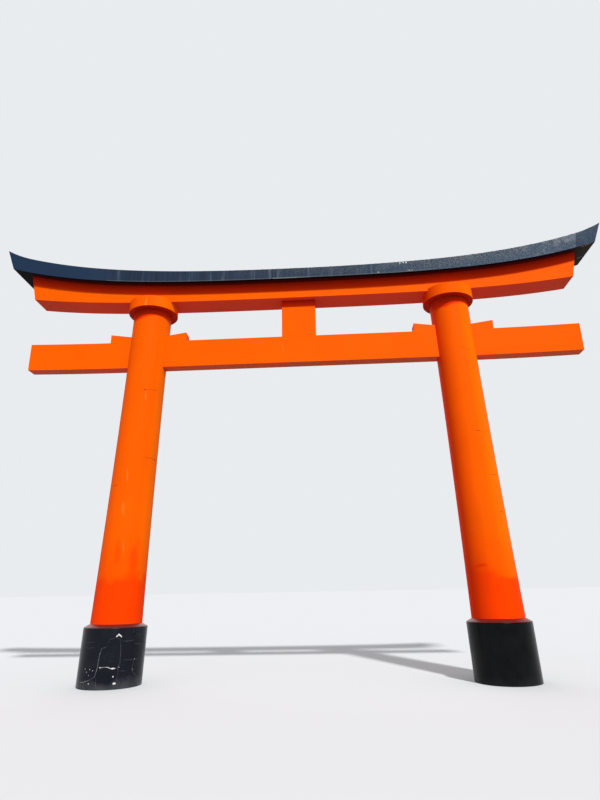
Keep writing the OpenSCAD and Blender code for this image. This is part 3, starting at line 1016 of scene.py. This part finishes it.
class TORII_OT_flake_cap(bpy.types.Operator):
    """Flake the paint off the cap's edges, and scar its underside"""

    bl_idname = "torii.flake_cap"
    bl_label = "Flake cap"

    def execute(self, context):
        just_behind_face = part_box("cap_middle")[0].y + 4 * MM
        well_above = 20
        skin = surface_of(*CAP)
        pale = plain_wear("bare_priming", context.scene.torii_cap.flake, 15, 0.9)
        dull = plain_wear("dull_priming", linear("#A79C99"), 15, 0.9)
        for name, flakes, material, seed in (("cap_top_flakes", TOP_FLAKES, pale, 110),
                                             ("cap_low_flakes", LOW_FLAKES, dull, 120)):
            bm = bmesh.new()
            for number, (x, share, wide, tall) in enumerate(flakes):
                bottom = cast(skin, Vector((x * MM, just_behind_face, 0)), UP).z
                top = cast(skin, Vector((x * MM, just_behind_face, well_above)), DOWN).z
                place = (x * MM, bottom + (top - bottom) * share)
                draw_flake(bm, place, (wide * MM, tall * MM), seed + number, turn=number)
            settle(bm, 2 * MM, front_face(*CAP))
            add_piece(name, bm, material)
        scars = bmesh.new()
        for number, scar in enumerate(SOFFIT_SCARS):
            draw_crack(scars, in_metres(scar), 24 * MM, seed=130 + number)
        settle(scars, 2 * MM, under_face(*CAP))
        add_piece("cap_soffit_scars", scars, dull)
        return {"FINISHED"}


class TORII_OT_grow_lichen(bpy.types.Operator):
    """Grow small crusts of lichen on the cap's top, most of them along its two long edges"""

    bl_idname = "torii.grow_lichen"
    bl_label = "Grow lichen"

    count: IntProperty(name="Count", description="How many crusts grow", min=0, max=4000, default=900)

    def execute(self, context):
        start = context.scene.torii_cap.lichen_start
        skin = surface_of(*CAP)
        low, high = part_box("cap_right_end")
        half_depth = (high.y - low.y) / 2
        tip_margin, edge_margin = 0.25, 4 * MM
        dice = random.Random(5)
        bm = bmesh.new()
        for number in range(self.count):
            x = start + (high.x - tip_margin - start) * dice.random() ** 0.7
            inward = edge_margin + half_depth * dice.random() ** 4
            y = low.y + inward if number % 3 else high.y - inward
            hit, normal = skin.ray_cast(Vector((x, y, high.z + 1)), DOWN)[:2]
            if hit is None:
                raise RuntimeError(f"no cap under the lichen at x {x:.2f} m")
            size = dice.uniform(5, 14) * MM
            turn = Matrix.Rotation(dice.uniform(0, math.tau), 4, normal)
            flat = Matrix.Diagonal((1.0, 1.0, dice.uniform(0.35, 0.6), 1.0))
            bmesh.ops.create_icosphere(bm, subdivisions=1, radius=size,
                                       matrix=Matrix.Translation(hit) @ turn @ flat)
        add_piece("cap_lichen", bm, plain_wear("lichen_crust", linear("#757B80"), 18, 0.95))
        return {"FINISHED"}


class TORII_OT_set_stage(bpy.types.Operator):
    """Set the floor, the backdrop, the light and the camera"""

    bl_idname = "torii.set_stage"
    bl_label = "Set stage"

    def execute(self, context):
        scene = context.scene
        studio = scene.torii_studio
        self.lay_floor(scene, studio)
        self.hang_light(scene, studio, "key")
        self.hang_light(scene, studio, "back")
        self.fill_world(scene, studio)
        self.place_camera(scene, studio)
        scene.view_settings.view_transform = "Standard"
        return {"FINISHED"}

    def lay_floor(self, scene, studio):
        """A matt floor, which the camera sees paler than it lights the gate."""
        reach = 600
        bm = bmesh.new()
        bmesh.ops.create_circle(bm, cap_ends=True, segments=96, radius=reach)
        mesh = bpy.data.meshes.new("studio_floor")
        bm.to_mesh(mesh)
        bm.free()
        material, tree, shader = new_material("matt_floor", Roughness=0.9, Specular_IOR_Level=0.0)
        colour = add(tree, "Mix", {0: seen_rays(tree), 6: studio.floor_bounce, 7: studio.floor}, 2,
                     data_type="RGBA")
        tree.links.new(colour, shader.inputs["Base Color"])
        mesh.materials.append(material)
        floor = bpy.data.objects.new("studio_floor", mesh)
        scene.collection.objects.link(floor)

    def hang_light(self, scene, studio, which):
        azimuth, height, spread, strength = (
            getattr(studio, f"{which}_{what}") for what in ("azimuth", "height", "spread", "strength"))
        sun = bpy.data.lights.new(which + "_light", "SUN")
        sun.energy = strength
        sun.angle = spread
        light = bpy.data.objects.new(which + "_light", sun)
        scene.collection.objects.link(light)
        light.matrix_world = (Matrix.Rotation(azimuth, 4, "Z")
                              @ Matrix.Rotation(math.pi / 2 - height, 4, "X"))

    def fill_world(self, scene, studio):
        """Even light from all round, which the camera sees as a pale backdrop."""
        world = bpy.data.worlds.new("pale_studio")
        scene.world = world
        world.use_nodes = True
        tree = world.node_tree
        fill = add(tree, "Background", (studio.fill, studio.fill_strength))
        pale = add(tree, "Background", (studio.backdrop, 1.0))
        either = add(tree, "MixShader", (seen_rays(tree), fill, pale))
        tree.links.new(either, tree.nodes["World Output"].inputs["Surface"])

    def place_camera(self, scene, studio):
        lens = bpy.data.cameras.new("camera")
        lens.sensor_fit = "VERTICAL"
        lens.sensor_height = 36
        lens.lens = studio.lens
        lens.clip_end = 2000
        camera = bpy.data.objects.new("camera", lens)
        scene.collection.objects.link(camera)
        camera.matrix_world = (Matrix.Translation(studio.camera_at)
                               @ Matrix.Rotation(studio.heading, 4, "Z")
                               @ Matrix.Rotation(math.pi / 2 + studio.tilt, 4, "X")
                               @ Matrix.Rotation(studio.roll, 4, "Z"))
        scene.camera = camera


class TORII_PT_finishes(bpy.types.Panel):
    """The gate's finishes, in the order in which they are made"""

    bl_idname = "TORII_PT_finishes"
    bl_label = "Torii gate"
    bl_space_type = "VIEW_3D"
    bl_region_type = "UI"
    bl_category = "Torii"

    def draw(self, context):
        for group in SETTINGS:
            settings = getattr(context.scene, group)
            box = self.layout.box()
            for name in settings.__annotations__:
                box.prop(settings, name)
        for operator in OPERATORS:
            self.layout.operator(operator.bl_idname)


SETTINGS = {
    "torii_vermilion": VermilionSettings,
    "torii_cap": CapSettings,
    "torii_sleeve": SleeveSettings,
    "torii_studio": StudioSettings,
}
OPERATORS = (
    TORII_OT_paint_pillars,
    TORII_OT_paint_beams,
    TORII_OT_paint_cap,
    TORII_OT_coat_sleeves,
    TORII_OT_crack_sleeve,
    TORII_OT_chip_sleeve,
    TORII_OT_check_pillars,
    TORII_OT_run_paint,
    TORII_OT_flake_cap,
    TORII_OT_grow_lichen,
    TORII_OT_set_stage,
)


def register():
    for cls in (*SETTINGS.values(), *OPERATORS, TORII_PT_finishes):
        bpy.utils.register_class(cls)
    for name, cls in SETTINGS.items():
        setattr(bpy.types.Scene, name, PointerProperty(type=cls))


def unregister():
    for name in SETTINGS:
        delattr(bpy.types.Scene, name)
    for cls in (TORII_PT_finishes, *reversed(OPERATORS), *reversed(SETTINGS.values())):
        bpy.utils.unregister_class(cls)


def main():
    register()
    bpy.ops.torii.paint_pillars()
    bpy.ops.torii.paint_beams()
    bpy.ops.torii.paint_cap()
    bpy.ops.torii.coat_sleeves()
    bpy.ops.torii.crack_sleeve()
    bpy.ops.torii.chip_sleeve()
    bpy.ops.torii.check_pillars()
    bpy.ops.torii.run_paint()
    bpy.ops.torii.flake_cap()
    bpy.ops.torii.grow_lichen()
    bpy.ops.torii.set_stage()


if __name__ == "__main__":
    main()
